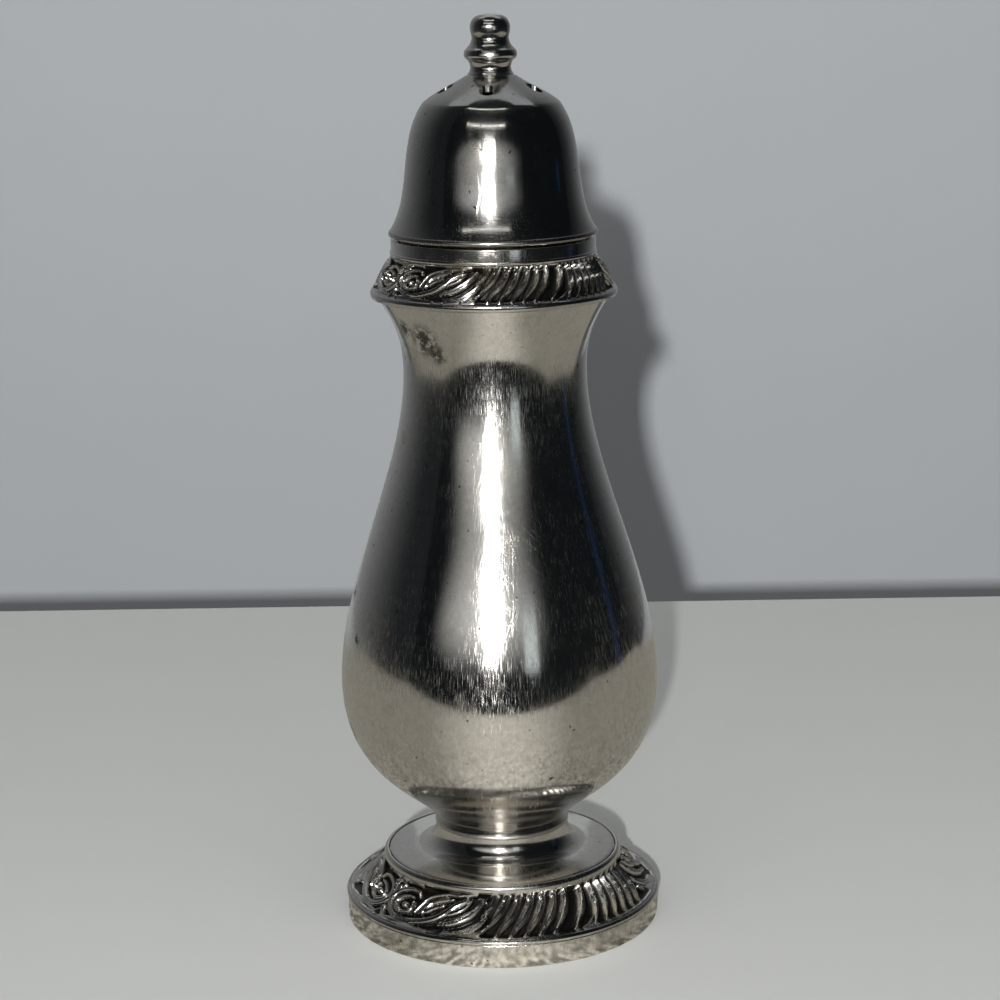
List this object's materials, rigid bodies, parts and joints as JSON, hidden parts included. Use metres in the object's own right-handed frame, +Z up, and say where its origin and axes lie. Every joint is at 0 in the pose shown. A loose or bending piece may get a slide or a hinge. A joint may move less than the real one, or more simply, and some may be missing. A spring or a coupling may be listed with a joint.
{
  "type": "condiment shaker",
  "caption": "Baluster-shaped table shaker on a dished round foot, with cast gadroon and scroll borders and a pierced bell-shaped screw cap with a turned finial.",
  "frame": {"origin": "centre of the foot ring's underside, on the surface that the shaker stands on", "axes": "+Z up along the axis of the body and cap, -Y towards the viewer of the picture, +X to the viewer's right"},
  "size_m": [0.0458, 0.0458, 0.13],
  "materials": {
    "polished_plate": "polished silver plate with fine scratches",
    "cast_plate": "cast silver plate, dark in the recesses",
    "turned_plate": "turned silver plate with faint lathe lines"
  },
  "bodies": {
    "vessel": {"foot_ring": "polished_plate", "foot_border": "cast_plate", "foot_shell": "polished_plate", "body_shell": "polished_plate", "collar_border": "cast_plate", "neck_ring": "turned_plate"},
    "sleeve": {"cap_sleeve": "turned_plate"},
    "cap": {"cap_rim_ring": "turned_plate", "cap_dome": "polished_plate", "finial": "turned_plate"}
  },
  "joints": [
    {"name": "cap_lift", "type": "slide", "parent": "vessel", "child": "sleeve", "axis": [0, 0, 1], "range_m": [0, 0.03]},
    {"name": "cap_turn", "type": "hinge", "parent": "sleeve", "child": "cap", "pos_m": [0, 0, 0.1], "axis": [0, 0, 1], "range_deg": [0, 540]}
  ]
}
